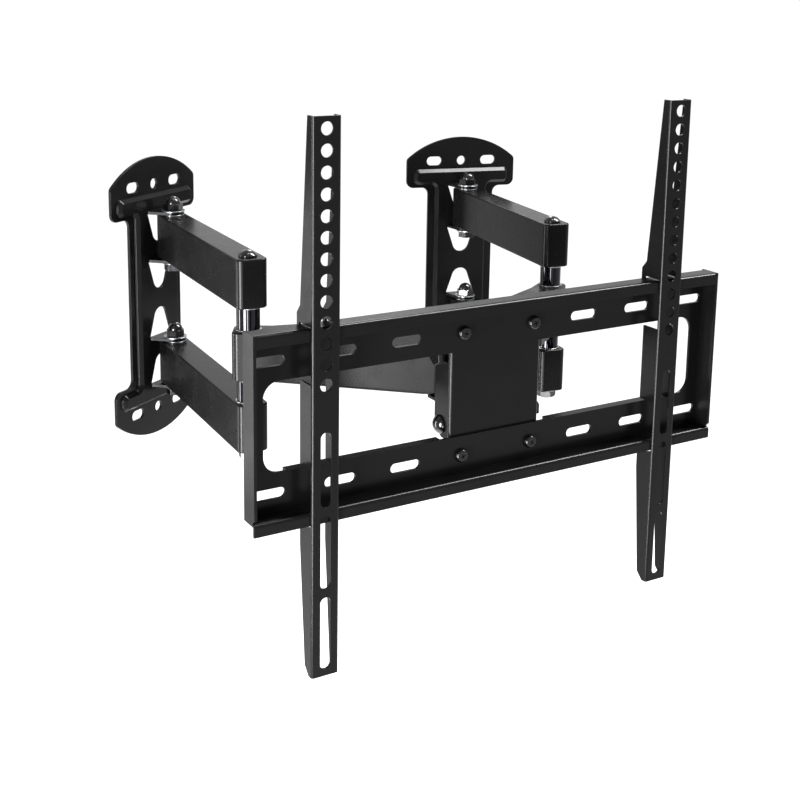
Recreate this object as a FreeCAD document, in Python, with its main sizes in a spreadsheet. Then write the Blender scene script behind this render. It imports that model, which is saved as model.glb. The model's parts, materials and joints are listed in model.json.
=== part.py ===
import FreeCAD, Part
import os
import re

import Sketcher

# Full motion TV wall mount: two wall plates, two pairs of box arms, two tapered forearms, a swivel
# head, a tilting bracket with the TV frame on it, and two uprights that hook over the frame's rails.
# Millimetres and degrees. X runs along the TV frame's rails, Y runs to the wall and Z is up.
# The origin is the middle of the left wall plate's back face, level with the middle of the arms.

SIZES = {
    # wall plates: a flat rim, a raised stem, and ears bent forward out of four windows
    "plate_thick": 3.0,
    "plate_raise": 5.0,
    "stem_width": 80.0,
    "head_width": 132.0,
    "head_low": 86.0,
    "head_shoulder": 119.0,
    "head_top": 144.0,
    "raised_margin": 8.0,
    "raised_corner": 6.0,
    "raised_slope": 3.5,
    "stem_corner": 8.0,
    "shoulder_corner": 6.0,
    "wall_hole_level": 116.7,
    "wall_hole_radius": 5.2,
    "wall_slot_offset": 33.0,
    "wall_slot_travel": 8.0,
    "window_width": 34.0,
    "window_drop": 29.0,
    "window_tip_radius": 10.0,
    "ear_thick": 3.0,
    "ear_tip_radius": 11.0,
    "pivot_reach": 26.0,
    # arms: hollow box section, one above and one below the forearm
    "arm_length": 211.0,
    "arm_width": 28.0,
    "arm_height": 44.0,
    "arm_level": 65.0,
    "arm_wall": 2.5,
    "arm_end": 13.5,
    "arm_corner": 6.0,
    "arm_edge": 1.6,
    # forearms: short at the elbow, taller at the swivel head
    "forearm_length": 173.1,
    "forearm_elbow_height": 44.0,
    "forearm_head_height": 64.0,
    "forearm_taper_start": 20.0,
    # pivots
    "pivot_radius": 5.0,
    "pivot_gap": 0.08,
    "face_gap": 0.1,
    "sleeve_wall": 3.0,
    "washer_thick": 1.0,
    "washer_radius": 11.7,
    "post_radius": 10.4,
    "dome_radius": 8.2,
    "dome_height": 6.0,
    "nut_width": 17.0,
    "nut_height": 7.0,
    "cap_nut_bore": 8.0,
    "end_washer_radius": 10.7,
    "drill_spare": 1.0,
    "thread_gap": 0.05,
    # swivel head and tilting bracket
    "head_pivot_half": 22.0,
    "head_pivot_back": 69.0,
    "head_sheet": 3.0,
    "head_side_gap": 0.8,
    "head_plate_back": 49.0,
    "head_margin": 3.0,
    "lug_nose": 15.0,
    "lug_nose_margin": 6.0,
    "cheek_front_margin": 9.0,
    "cheek_margin": 11.0,
    "cheek_slant": 5.0,
    "low_dome_height": 4.6,
    "tilt_pivot_back": 38.0,
    "tilt_pivot_drop": 50.0,
    "tilt_bolt_radius": 4.0,
    "tilt_bolt_reach": 9.0,
    "tilt_nut_width": 15.0,
    "lock_nut_width": 13.0,
    "lock_nut_height": 5.0,
    "lock_slot_gap": 0.4,
    "tilt_lock_rise": 62.0,
    "tilt_forward": 15.0,
    "tilt_back": 5.0,
    "tilt_spare": 2.0,
    "bracket_sheet": 2.5,
    "bracket_width": 93.0,
    "bracket_top": 48.0,
    "bracket_bottom": 89.0,
    "bracket_flange_drop": 61.0,
    "bracket_flange_back": 47.0,
    "bracket_taper": 30.0,
    "bracket_corner": 6.0,
    # TV frame
    "frame_width": 470.0,
    "frame_top": 61.0,
    "frame_bottom": 92.0,
    "frame_front": 3.0,
    "frame_depth": 19.5,
    "frame_sheet": 2.5,
    "frame_bend": 3.2,
    "lip_height": 10.5,
    "window_end": 15.5,
    "window_top": 18.0,
    "window_bottom": 57.0,
    "window_corner": 14.0,
    "end_corner": 6.0,
    "return_depth": 6.5,
    "return_end": 36.0,
    "return_inner": 56.0,
    "top_slot_level": 34.5,
    "bottom_slot_level": 74.0,
    "rail_slot_travel": 19.5,
    "rail_slot_radius": 4.3,
    "rail_slot_first": 91.0,
    "rail_slot_second": 152.0,
    "rail_slot_third": 215.0,
    "rail_bolt_half": 36.0,
    "rail_bolt_radius": 3.0,
    "rail_bolt_head": 6.0,
    "rail_bolt_height": 4.2,
    "rail_nut_width": 11.0,
    "rail_nut_height": 4.9,
    "hole_gap": 0.2,
    # uprights
    "upright_half_spacing": 175.0,
    "upright_width": 24.5,
    "upright_sheet": 2.0,
    "upright_bend": 2.4,
    "upright_top": 224.5,
    "upright_bottom": 230.7,
    "upright_top_depth": 9.5,
    "upright_depth": 21.6,
    "upright_low_depth": 13.0,
    "upright_taper_top": 76.0,
    "upright_taper_low": 122.0,
    "hook_depth": 27.5,
    "hook_reach": 8.0,
    "notch_gap": 0.9,
    "face_clearance": 0.4,
    "window_clearance": 2.5,
    "upright_corner": 7.0,
    "tv_hole_level": 215.0,
    "tv_hole_pitch": 16.667,
    "tv_hole_radius": 5.3,
    "tv_slot_top": 23.5,
    "tv_slot_length": 62.0,
    "tv_slot_bridge": 7.5,
    "tv_slot_radius": 4.6,
    # rest angles, seen from above and counted from the X axis
    "left_plate_turn": 32.3,
    "left_arm_turn": -93.2,
    "left_forearm_turn": -29.5,
    "right_forearm_turn": 34.9,
    "right_arm_turn": 80.8,
    "right_plate_turn": -12.0,
}
TV_HOLES = 13
TV_SLOTS = 3

doc = FreeCAD.newDocument("tv_wall_mount")
sheet = doc.addObject("Spreadsheet::Sheet", "dims")
for row, (name, size) in enumerate(SIZES.items(), start=1):
    sheet.set(f"A{row}", str(size))
    sheet.setAlias(f"A{row}", name)
doc.recompute()

ORIGIN_PLANES = {"XY": ("XY_Plane", 1), "XZ": ("XZ_Plane", -1), "YZ": ("YZ_Plane", 1)}
WORD = re.compile(r"[a-z_]+")
subparts = []


def linked(formula):
    """A formula with each size name turned into its cell in the sheet."""
    def cell(found):
        word = found.group()
        return f"dims.{word}" if word in SIZES else word

    return WORD.sub(cell, formula)


def value(formula):
    return float(sheet.evalExpression(formula))


def bind(thing, path, formula):
    thing.setExpression(path, linked(formula))


# ---- sketches -------------------------------------------------------------------------------

def pin_point(sketch, geometry, point, x, y):
    """Holds a sketch point at the two formulas, measured from the sketch's origin."""
    for axis, formula, zero_line in (("DistanceX", x, -2), ("DistanceY", y, -1)):
        if formula is None:
            continue
        if formula == "0":
            sketch.addConstraint(Sketcher.Constraint("PointOnObject", geometry, point, zero_line))
            continue
        number = sketch.addConstraint(Sketcher.Constraint(axis, -1, 1, geometry, point, value(formula)))
        bind(sketch, f"Constraints[{number}]", formula)


def add_circle(sketch, x, y, radius):
    centre = FreeCAD.Vector(value(x), value(y), 0)
    circle = sketch.addGeometry(Part.Circle(centre, FreeCAD.Vector(0, 0, 1), value(radius)))
    number = sketch.addConstraint(Sketcher.Constraint("Radius", circle, value(radius)))
    bind(sketch, f"Constraints[{number}]", radius)
    pin_point(sketch, circle, 3, x, y)


def add_loop(sketch, corners):
    """A closed outline. A corner is (x, y), or (x, y, centre x, centre y) where an arc starts,
    with a last word "inward" where that arc runs clockwise."""
    points = [FreeCAD.Vector(value(corner[0]), value(corner[1]), 0) for corner in corners]
    pieces = []
    for index, corner in enumerate(corners):
        start = points[index]
        end = points[(index + 1) % len(corners)]
        if len(corner) == 2:
            pieces.append((sketch.addGeometry(Part.LineSegment(start, end)), 1, 2))
            continue
        inward = len(corner) == 5
        first, last = (end, start) if inward else (start, end)
        centre = FreeCAD.Vector(value(corner[2]), value(corner[3]), 0)
        circle = Part.Circle(centre, FreeCAD.Vector(0, 0, 1), (start - centre).Length)
        arc = Part.ArcOfCircle(circle, circle.parameter(first), circle.parameter(last))
        pieces.append((sketch.addGeometry(arc), 2 if inward else 1, 1 if inward else 2))
    for index, corner in enumerate(corners):
        geometry, start_point, end_point = pieces[index]
        following = pieces[(index + 1) % len(corners)]
        sketch.addConstraint(
            Sketcher.Constraint("Coincident", geometry, end_point, following[0], following[1]))
        pin_point(sketch, geometry, start_point, corner[0], corner[1])
        if len(corner) > 2:
            chord = points[(index + 1) % len(corners)] - points[index]
            if abs(chord.x) > abs(chord.y):
                pin_point(sketch, geometry, 3, None, corner[3])
            else:
                pin_point(sketch, geometry, 3, corner[2], None)


def draw(sketch, loops):
    for loop in loops:
        if loop[0] == "circle":
            add_circle(sketch, *loop[1:])
        else:
            add_loop(sketch, loop)


def rectangle(left, right, low, high):
    return [(left, low), (right, low), (right, high), (left, high)]


def slot(x, y, travel, radius):
    """A slot along the sketch's first axis: travel is the distance between its end centres."""
    left, right = f"{x} - {travel} / 2", f"{x} + {travel} / 2"
    low, high = f"{y} - {radius}", f"{y} + {radius}"
    return [(left, low), (right, low, right, y), (right, high), (left, high, left, y)]


def upright_slot(low, high, radius):
    """A slot along the sketch's second axis, on the middle line, between the two end levels."""
    low_centre, high_centre = f"{low} + {radius}", f"{high} - {radius}"
    return [(radius, low_centre), (radius, high_centre, "0", high_centre),
            (f"-({radius})", high_centre), (f"-({radius})", low_centre, "0", low_centre)]


def teardrop(root_half, root_level, tip_level, radius):
    """A straight root at one level and sides that run tangent into a round tip below it. With the
    root below the tip, the outline is the same one upside down."""
    rise = f"abs(({root_level}) - ({tip_level}))"
    angle = f"(acos(({radius}) / sqrt(({root_half}) ^ 2 + ({rise}) ^ 2)) - atan2({rise}; {root_half}))"
    side = f"({radius}) * cos{angle}"
    drop = f"({radius}) * sin{angle}"
    if value(root_level) > value(tip_level):
        level = f"({tip_level}) - {drop}"
        return [(f"-({root_half})", root_level), (f"-({side})", level, "0", tip_level),
                (side, level), (root_half, root_level)]
    level = f"({tip_level}) + {drop}"
    return [(root_half, root_level), (side, level, "0", tip_level),
            (f"-({side})", level), (f"-({root_half})", root_level)]


# ---- bodies ---------------------------------------------------------------------------------

def new_body(label):
    body = doc.addObject("PartDesign::Body", label)
    body.Label = label
    subparts.append(body)
    return body


def sketch_on(body, plane, level, loops):
    role, direction = ORIGIN_PLANES[plane]
    sketch = body.newObject("Sketcher::SketchObject", f"{body.Name}_sketch")
    support = [item for item in body.Origin.OriginFeatures if item.Role == role][0]
    sketch.AttachmentSupport = [(support, "")]
    sketch.MapMode = "FlatFace"
    bind(sketch, "AttachmentOffset.Base.z", f"{direction} * ({level})")
    draw(sketch, loops)
    return sketch


def add_layer(body, kind, plane, level, thickness, loops):
    """Adds or cuts a layer of the given thickness, centred on a level along the plane's axis."""
    sketch = sketch_on(body, plane, level, loops)
    layer = body.newObject(kind, f"{body.Name}_layer")
    layer.Profile = sketch
    layer.SideType = "Symmetric"
    bind(layer, "Length", thickness)
    before = body.Shape.Volume if kind == "PartDesign::Pocket" else None
    doc.recompute()
    if before is not None and not layer.Shape.Volume < before:
        raise RuntimeError(f"{layer.Name} cuts nothing")
    return layer


def slab(body, plane, level, thickness, loops):
    return add_layer(body, "PartDesign::Pad", plane, level, thickness, loops)


def carve(body, plane, level, thickness, loops):
    return add_layer(body, "PartDesign::Pocket", plane, level, thickness, loops)


def edges_where(shape, test):
    """The names of the edges whose middle point and direction pass the test."""
    names = []
    for number, edge in enumerate(shape.Edges, start=1):
        middle = edge.valueAt((edge.FirstParameter + edge.LastParameter) / 2)
        ends = edge.Vertexes
        along = (ends[-1].Point - ends[0].Point) if len(ends) > 1 else FreeCAD.Vector()
        if test(middle, along, edge):
            names.append(f"Edge{number}")
    return names


def dress(body, kind, size_path, formula, test):
    """A fillet or a chamfer on the edges of the body's last feature that pass the test."""
    base = body.Tip
    names = edges_where(base.Shape, test)
    if not names:
        raise RuntimeError(f"{body.Name} has no edge to dress")
    feature = body.newObject(kind, f"{body.Name}_edge")
    feature.Base = (base, names)
    bind(feature, size_path, formula)
    doc.recompute()
    return feature


def fillet(body, radius, test):
    return dress(body, "PartDesign::Fillet", "Radius", radius, test)


def chamfer(body, size, test):
    return dress(body, "PartDesign::Chamfer", "Size", size, test)


def near(number, formula, slack=0.02):
    return abs(number - value(formula)) < slack


def runs_along(direction, axis):
    """True where a straight edge runs along one axis only."""
    parts = (abs(direction.x), abs(direction.y), abs(direction.z))
    return parts[axis] > 0.5 and sum(parts) - parts[axis] < 0.01


# ---- turned pieces and groups of fasteners ---------------------------------------------------

def turned(name, corners):
    """A solid turned about the Z axis from an outline of (radius, level) corners."""
    sketch = doc.addObject("Sketcher::SketchObject", f"{name}_profile")
    sketch.Placement = FreeCAD.Placement(FreeCAD.Vector(), FreeCAD.Rotation(FreeCAD.Vector(1, 0, 0), 90))
    draw(sketch, [corners])
    solid = doc.addObject("Part::Revolution", name)
    solid.Source = sketch
    solid.Axis = (0, 0, 1)
    solid.Angle = 360
    solid.Solid = True
    return solid


def ring(name, inner, outer, low, high):
    return turned(name, rectangle(inner, outer, low, high))


def dome(name, radius, height, low):
    """A low dome: a short straight rim under a round cap."""
    rim = f"({low}) + ({height}) * 0.25"
    cap = f"({height}) * 0.75"
    centre = f"{rim} - ((({radius}) ^ 2 - ({cap}) ^ 2) / (2 * ({cap})))"
    return turned(name, [("0", low), (radius, low), (radius, rim, "0", centre), ("0", f"{rim} + {cap}")])


def hexagon(name, across, low, height):
    prism = doc.addObject("Part::Prism", name)
    prism.Polygon = 6
    bind(prism, "Circumradius", f"({across}) / sqrt(3)")
    bind(prism, "Height", height)
    bind(prism, "Placement.Base.z", low)
    return prism


def joined(name, shapes):
    fusion = doc.addObject("Part::MultiFuse", name)
    fusion.Shapes = shapes
    return fusion


def cut_from(name, base, tool):
    cut = doc.addObject("Part::Cut", name)
    cut.Base = base
    cut.Tool = tool
    return cut


def shaft(name, radius, low, high):
    return turned(name, rectangle("0", radius, low, high))


def hex_bolt(name, radius, across, head_height, low, high):
    """A bolt with its hexagon head below the low level and its shank up to the high level."""
    head = hexagon(f"{name}_head", across, f"({low}) - ({head_height})", head_height)
    return joined(name, [head, shaft(f"{name}_shank", radius, low, high)])


def dome_bolt(name, radius, dome_radius, dome_height, low, high):
    """A bolt with a domed head above the high level and its shank down to the low level."""
    head = dome(f"{name}_head", dome_radius, dome_height, high)
    return joined(name, [head, shaft(f"{name}_shank", radius, low, high)])


def nut(name, radius, across, low, height):
    bore = shaft(f"{name}_bore", f"{radius} + thread_gap", f"{low} - drill_spare",
                 f"{low} + {height} + drill_spare")
    return cut_from(name, hexagon(f"{name}_hexagon", across, low, height), bore)


def cap_nut(name, radius, across, low, height, depth):
    """A hexagon nut closed by a dome, bored from below to the given depth."""
    body = hexagon(f"{name}_hexagon", across, low, height)
    cap = dome(f"{name}_cap", f"{across} * 0.46", height, f"{low} + {height}")
    bore = shaft(f"{name}_bore", f"{radius} + thread_gap", f"{low} - drill_spare", f"{low} + {depth}")
    return cut_from(name, joined(f"{name}_blank", [body, cap]), bore)


def group(label, members):
    compound = doc.addObject("Part::Compound", label)
    compound.Label = label
    compound.Links = members
    subparts.append(compound)
    return compound


# ---- where each piece stands -----------------------------------------------------------------

def moved(place, distance, turn):
    """The place that lies at a distance along a direction."""
    return (f"{place[0]} + {distance} * cos({turn})", f"{place[1]} + {distance} * sin({turn})")


def put(piece, place, turn="0", level="0"):
    bind(piece, "Placement.Base.x", place[0])
    bind(piece, "Placement.Base.y", place[1])
    bind(piece, "Placement.Base.z", level)
    if turn != "0":
        piece.Placement = FreeCAD.Placement(FreeCAD.Vector(), FreeCAD.Rotation(FreeCAD.Vector(0, 0, 1), 1))
        bind(piece, "Placement.Rotation.Angle", turn)


left_plate = ("0", "0")
left_wall_pivot = moved(left_plate, "pivot_reach", "left_plate_turn - 90")
left_elbow = moved(left_wall_pivot, "arm_length", "left_arm_turn")
left_head_pivot = moved(left_elbow, "forearm_length", "left_forearm_turn")
tv_centre = (f"{left_head_pivot[0]} + head_pivot_half", f"{left_head_pivot[1]} - head_pivot_back")
right_head_pivot = (f"{tv_centre[0]} + head_pivot_half", f"{tv_centre[1]} + head_pivot_back")
right_elbow = moved(right_head_pivot, "forearm_length", "right_forearm_turn")
right_wall_pivot = moved(right_elbow, "arm_length", "right_arm_turn")
right_plate = moved(right_wall_pivot, "pivot_reach", "right_plate_turn + 90")

SIDES = {
    "left": {"plate": (left_plate, "left_plate_turn"), "arm": (left_wall_pivot, "left_arm_turn"),
             "forearm": (left_elbow, "left_forearm_turn"), "hand": "-1"},
    "right": {"plate": (right_plate, "right_plate_turn"), "arm": (right_wall_pivot, "right_arm_turn + 180"),
              "forearm": (right_elbow, "right_forearm_turn + 180"), "hand": "1"},
}

ARM_LOW = "(arm_level - arm_height / 2)"
ARM_HIGH = "(arm_level + arm_height / 2)"
EAR_LOW_TOP = f"({ARM_LOW} - washer_thick)"
EAR_HIGH_TOP = f"({ARM_HIGH} + washer_thick + ear_thick)"
PANEL_FRONT = "(plate_thick + plate_raise)"
BORE = "(pivot_radius + pivot_gap)"
SLEEVE = "(pivot_radius + sleeve_wall)"


# ---- wall plates -----------------------------------------------------------------------------

def dumbbell(half_stem, half_head, low, shoulder, top):
    """The plate's outline: a stem with a round-topped head at each end."""
    sagitta = f"({top} - {shoulder})"
    centre = f"({top} - (({half_head}) ^ 2 + {sagitta} ^ 2) / (2 * {sagitta}))"
    upper = [(half_stem, low), (half_head, low), (half_head, shoulder, "0", centre),
             (f"-({half_head})", shoulder), (f"-({half_head})", low), (f"-({half_stem})", low)]
    lower = [(f"-({half_stem})", f"-({low})"), (f"-({half_head})", f"-({low})"),
             (f"-({half_head})", f"-({shoulder})", "0", f"-{centre}"), (half_head, f"-({shoulder})"),
             (half_head, f"-({low})"), (half_stem, f"-({low})")]
    return upper + lower


def raised_outline(inset):
    """The stem's raised panel, which widens into the lower part of each head."""
    half_stem = f"(stem_width / 2 - {inset})"
    half_head = f"(head_width / 2 - {inset})"
    low = f"(head_low + {inset} - raised_margin / 2)"
    high = f"(wall_hole_level - wall_hole_radius - {inset} / 2)"
    return [(half_stem, f"-{low}"), (half_stem, low), (half_head, low), (half_head, high),
            (f"-{half_head}", high), (f"-{half_head}", low), (f"-{half_stem}", low),
            (f"-{half_stem}", f"-{low}"), (f"-{half_head}", f"-{low}"), (f"-{half_head}", f"-{high}"),
            (half_head, f"-{high}"), (half_head, f"-{low}")]


def wall_plate(side):
    plate = new_body(f"wall_plate_{side}")
    outline = dumbbell("stem_width / 2", "head_width / 2", "head_low", "head_shoulder", "head_top")
    slab(plate, "XZ", "-plate_thick / 2", "plate_thick", [outline])
    for size, level in (("stem_corner", "head_low"), ("shoulder_corner", "head_shoulder")):
        fillet(plate, size, lambda middle, along, edge: runs_along(along, 1)
               and near(abs(middle.z), level))
    slab(plate, "XZ", "-plate_thick - plate_raise / 2", "plate_raise", [raised_outline("raised_margin")])
    fillet(plate, "raised_corner", lambda middle, along, edge: runs_along(along, 1)
           and near(middle.y, "-plate_thick - plate_raise / 2"))
    chamfer(plate, "raised_slope", lambda middle, along, edge: near(middle.y, f"-{PANEL_FRONT}"))
    carve(plate, "XZ", "0", "2 * plate_raise", [raised_outline("(raised_margin + plate_thick)")])
    openings = []
    for sign in ("", "-"):
        level = f"{sign}wall_hole_level"
        openings.append(["circle", "0", level, "wall_hole_radius"])
        for hand in ("-1", "1"):
            offset = f"{hand} * wall_slot_offset"
            openings.append(slot(offset, level, "wall_slot_travel", "wall_hole_radius"))
        for top in (EAR_HIGH_TOP, EAR_LOW_TOP):
            root = f"{sign}({top} - ear_thick)"
            tip = f"{sign}({top} - ear_thick - window_drop + window_tip_radius)"
            openings.append(teardrop("window_width / 2", root, tip, "window_tip_radius"))
    carve(plate, "XZ", f"-{PANEL_FRONT} / 2", f"2 * {PANEL_FRONT}", openings)
    for sign in ("", "-"):
        for top in (EAR_HIGH_TOP, EAR_LOW_TOP):
            root = f"-{PANEL_FRONT} + plate_thick"
            ear = teardrop("window_width / 2", root, "-pivot_reach", "ear_tip_radius")
            slab(plate, "XY", f"{sign}({top} - ear_thick / 2)", "ear_thick", [ear])
    carve(plate, "XY", "0", "2 * head_top", [["circle", "0", "-pivot_reach", f"{BORE}"]])
    put(plate, *SIDES[side]["plate"])


def wall_fasteners(side):
    """The pivot bolts through each pair of ears: head below, cap nut on top, washers at the ears."""
    bolts, nuts, washers = [], [], []
    for number, sign in ((1, 1), (2, -1)):
        high = EAR_HIGH_TOP if sign > 0 else f"-({EAR_LOW_TOP} - ear_thick)"
        low = f"({EAR_LOW_TOP} - ear_thick)" if sign > 0 else f"-{EAR_HIGH_TOP}"
        arm_low = ARM_LOW if sign > 0 else f"-{ARM_HIGH}"
        arm_high = ARM_HIGH if sign > 0 else f"-{ARM_LOW}"
        name = f"wall_{side}_{number}"
        shank_top = f"{high} + washer_thick + nut_height"
        bolts.append(hex_bolt(f"{name}_bolt", "pivot_radius", "nut_width", "nut_height",
                              f"{low} - washer_thick", shank_top))
        nuts.append(cap_nut(f"{name}_nut", "pivot_radius", "nut_width", f"({high} + washer_thick)",
                            "nut_height", "cap_nut_bore"))
        levels = (high, f"({low} - washer_thick)")
        for spot, level in enumerate(levels):
            washers.append(ring(f"{name}_washer_{spot}", BORE, "washer_radius",
                                level, f"{level} + washer_thick"))
        bearings = ((f"{arm_low} - washer_thick", f"{arm_low} - face_gap"),
                    (f"{arm_high} + face_gap", f"{arm_high} + washer_thick"))
        for spot, (bearing_low, bearing_high) in enumerate(bearings):
            washers.append(ring(f"{name}_bearing_{spot}", BORE, "ear_tip_radius", bearing_low, bearing_high))
    for label, members in (("bolts", bolts), ("cap_nuts", nuts), ("washers", washers)):
        piece = group(f"wall_{label}_{side}", members)
        place, turn = SIDES[side]["plate"]
        pivot = moved(place, "pivot_reach", f"{turn} - 90")
        put(piece, pivot, turn)


# ---- arms and elbows -------------------------------------------------------------------------

def box_corners(body):
    """Rounds the four standing corners of an arm."""
    fillet(body, "arm_corner", lambda middle, along, edge: runs_along(along, 2))


def arm(side, label, sign):
    """A closed box section with rounded ends; the pivot sleeves pass through it."""
    body = new_body(f"{label}_arm_{side}")
    outer = rectangle("-arm_end", "arm_length + arm_end", "-arm_width / 2", "arm_width / 2")
    inner = rectangle("arm_wall - arm_end", "arm_length + arm_end - arm_wall",
                      "arm_wall - arm_width / 2", "arm_width / 2 - arm_wall")
    slab(body, "XY", f"{sign}arm_level", "arm_height", [outer])
    box_corners(body)
    for level in (f"{sign}arm_level + arm_height / 2", f"{sign}arm_level - arm_height / 2"):
        fillet(body, "arm_edge", lambda middle, along, edge: near(middle.z, level))
    carve(body, "XY", f"{sign}arm_level", "arm_height - 2 * arm_wall", [inner])
    holes = [["circle", x, "0", f"{SLEEVE}"] for x in ("0", "arm_length")]
    carve(body, "XY", f"{sign}arm_level", "arm_height + 2", holes)
    put(body, *SIDES[side]["arm"])


def arm_sleeves(side):
    """The steel sleeves that run through both arms at the wall pivot and at the elbow."""
    members = []
    for sign, name in ((1, "upper"), (-1, "lower")):
        low, high = (ARM_LOW, ARM_HIGH) if sign > 0 else (f"-{ARM_HIGH}", f"-{ARM_LOW}")
        for x, spot in (("0", "wall"), ("arm_length", "elbow")):
            sleeve = ring(f"sleeve_{side}_{name}_{spot}", BORE, f"{SLEEVE} - thread_gap", low, high)
            bind(sleeve, "Placement.Base.x", x)
            members.append(sleeve)
    put(group(f"arm_sleeves_{side}", members), *SIDES[side]["arm"])


def elbow(side):
    """One long bolt holds the upper arm, a post, the forearm, a post and the lower arm together."""
    forearm_half = "(forearm_elbow_height / 2)"
    bolt = dome_bolt(f"elbow_{side}_bolt", "pivot_radius", "dome_radius", "dome_height",
                     f"-{ARM_HIGH} - washer_thick - nut_height", ARM_HIGH)
    low_washer = ring(f"elbow_{side}_end_washer", BORE, "end_washer_radius",
                      f"-{ARM_HIGH} - washer_thick", f"-{ARM_HIGH}")
    end_nut = nut(f"elbow_{side}_nut", "pivot_radius", "nut_width",
                  f"(-{ARM_HIGH} - washer_thick - nut_height)", "nut_height")
    posts, washers = [], [low_washer]
    for sign, name in ((1, "upper"), (-1, "lower")):
        levels = [(f"{forearm_half} + face_gap", f"{forearm_half} + washer_thick"),
                  (f"{ARM_LOW} - washer_thick", ARM_LOW)]
        post = (f"{forearm_half} + washer_thick", f"{ARM_LOW} - washer_thick")
        if sign < 0:
            levels = [(f"-({high})", f"-({low})") for low, high in levels]
            post = (f"-({post[1]})", f"-({post[0]})")
        posts.append(ring(f"post_{side}_{name}", BORE, "post_radius", *post))
        for spot, (low, high) in enumerate(levels):
            washers.append(ring(f"elbow_{side}_washer_{name}_{spot}", BORE, "washer_radius", low, high))
    start, turn = SIDES[side]["arm"]
    place = moved(start, "arm_length", turn)
    for label, members in (("bolt", [bolt]), ("nut", [end_nut]), ("posts", posts), ("washers", washers)):
        put(group(f"elbow_{label}_{side}", members), place, turn)


# ---- forearms --------------------------------------------------------------------------------

def forearm_profile(inset):
    """The forearm's side view, drawn inwards from its skin by the inset."""
    start, end = f"({inset} - arm_end)", f"(forearm_length + arm_end - {inset})"
    small, large = f"(forearm_elbow_height / 2 - {inset})", f"(forearm_head_height / 2 - {inset})"
    slope_start, slope_end = "forearm_taper_start", "(forearm_length - forearm_taper_start)"
    return [(start, f"-{small}"), (slope_start, f"-{small}"), (slope_end, f"-{large}"), (end, f"-{large}"),
            (end, large), (slope_end, large), (slope_start, small), (start, small)]


def forearm(side):
    body = new_body(f"forearm_{side}")
    slab(body, "XZ", "0", "arm_width", [forearm_profile("0")])
    box_corners(body)
    fillet(body, "arm_edge", lambda middle, along, edge: near(abs(middle.y), "arm_width / 2")
           and abs(along.x) > 1)
    carve(body, "XZ", "0", "arm_width - 2 * arm_wall", [forearm_profile("arm_wall")])
    holes = [["circle", x, "0", f"{SLEEVE}"] for x in ("0", "forearm_length")]
    carve(body, "XY", "0", "forearm_head_height + 2", holes)
    put(body, *SIDES[side]["forearm"])
    members = []
    ends = (("0", "forearm_elbow_height", "elbow"), ("forearm_length", "forearm_head_height", "head"))
    for x, height, spot in ends:
        sleeve = ring(f"forearm_sleeve_{side}_{spot}", BORE, f"{SLEEVE} - thread_gap",
                      f"-({height}) / 2", f"({height}) / 2")
        bind(sleeve, "Placement.Base.x", x)
        members.append(sleeve)
    put(group(f"forearm_sleeves_{side}", members), *SIDES[side]["forearm"])


# ---- swivel head -----------------------------------------------------------------------------

LUG_LOW = "(forearm_head_height / 2 + washer_thick)"
LUG_HIGH = f"({LUG_LOW} + head_sheet)"
HEAD_HALF = "(bracket_width / 2 - bracket_sheet - head_side_gap)"


def swivel_head():
    """A back plate with two lugs for the forearm pivots and two cheeks for the tilting bracket."""
    head = new_body("swivel_head")
    low = "-(tilt_pivot_drop + cheek_margin)"
    inner = "head_plate_back - head_sheet"
    slab(head, "XZ", "head_plate_back - head_sheet / 2", "head_sheet",
         [rectangle(f"-{HEAD_HALF}", HEAD_HALF, low, LUG_HIGH)])
    side, nose = f"({HEAD_HALF} - head_margin)", "(head_pivot_half + lug_nose_margin)"
    lug = [(f"-{side}", inner), (side, inner), (side, "head_pivot_back"),
           (nose, "head_pivot_back + lug_nose"), (f"-{nose}", "head_pivot_back + lug_nose"),
           (f"-{side}", "head_pivot_back")]
    for sign in ("", "-"):
        slab(head, "XY", f"{sign}({LUG_LOW} + head_sheet / 2)", "head_sheet", [lug])
    high = "(tilt_lock_rise - tilt_pivot_drop + cheek_margin)"
    front = "(tilt_pivot_back - cheek_front_margin)"
    cheek = [(front, low), ("head_plate_back", low), ("head_plate_back", high),
             (f"{front} + cheek_slant", high), (front, f"-tilt_pivot_drop + cheek_margin")]
    for hand in ("-1", "1"):
        slab(head, "YZ", f"{hand} * ({HEAD_HALF} - head_sheet / 2)", "head_sheet", [cheek])
    pivots = [["circle", f"{hand} * head_pivot_half", "head_pivot_back", BORE] for hand in ("-1", "1")]
    carve(head, "XY", "0", "3 * forearm_head_height", pivots)
    pins = [["circle", "tilt_pivot_back", level, "tilt_bolt_radius + pivot_gap"]
            for level in ("-tilt_pivot_drop", "tilt_lock_rise - tilt_pivot_drop")]
    carve(head, "YZ", "0", f"3 * {HEAD_HALF}", pins)
    put(head, tv_centre)


def head_fasteners():
    bolts, nuts, washers = [], [], []
    for hand, name in (("-1", "left"), ("1", "right")):
        bolt = dome_bolt(f"head_{name}_bolt", "pivot_radius", "dome_radius", "low_dome_height",
                         f"-{LUG_HIGH} - low_dome_height", LUG_HIGH)
        end_nut = nut(f"head_{name}_nut", "pivot_radius", "nut_width",
                      f"(-{LUG_HIGH} - low_dome_height)", "low_dome_height")
        pieces = [(bolt, bolts), (end_nut, nuts)]
        for sign, spot in (("", "top"), ("-", "bottom")):
            inner, outer = "(forearm_head_height / 2 + face_gap)", LUG_LOW
            low, high = (inner, outer) if sign == "" else (f"-{outer}", f"-{inner}")
            pieces.append((ring(f"head_{name}_washer_{spot}", BORE, "ear_tip_radius", low, high), washers))
        for piece, members in pieces:
            bind(piece, "Placement.Base.x", f"{hand} * head_pivot_half")
            members.append(piece)
    pivots = (tv_centre[0], f"{tv_centre[1]} + head_pivot_back")
    for label, members in (("bolts", bolts), ("nuts", nuts), ("washers", washers)):
        put(group(f"head_{label}", members), pivots)


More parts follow.
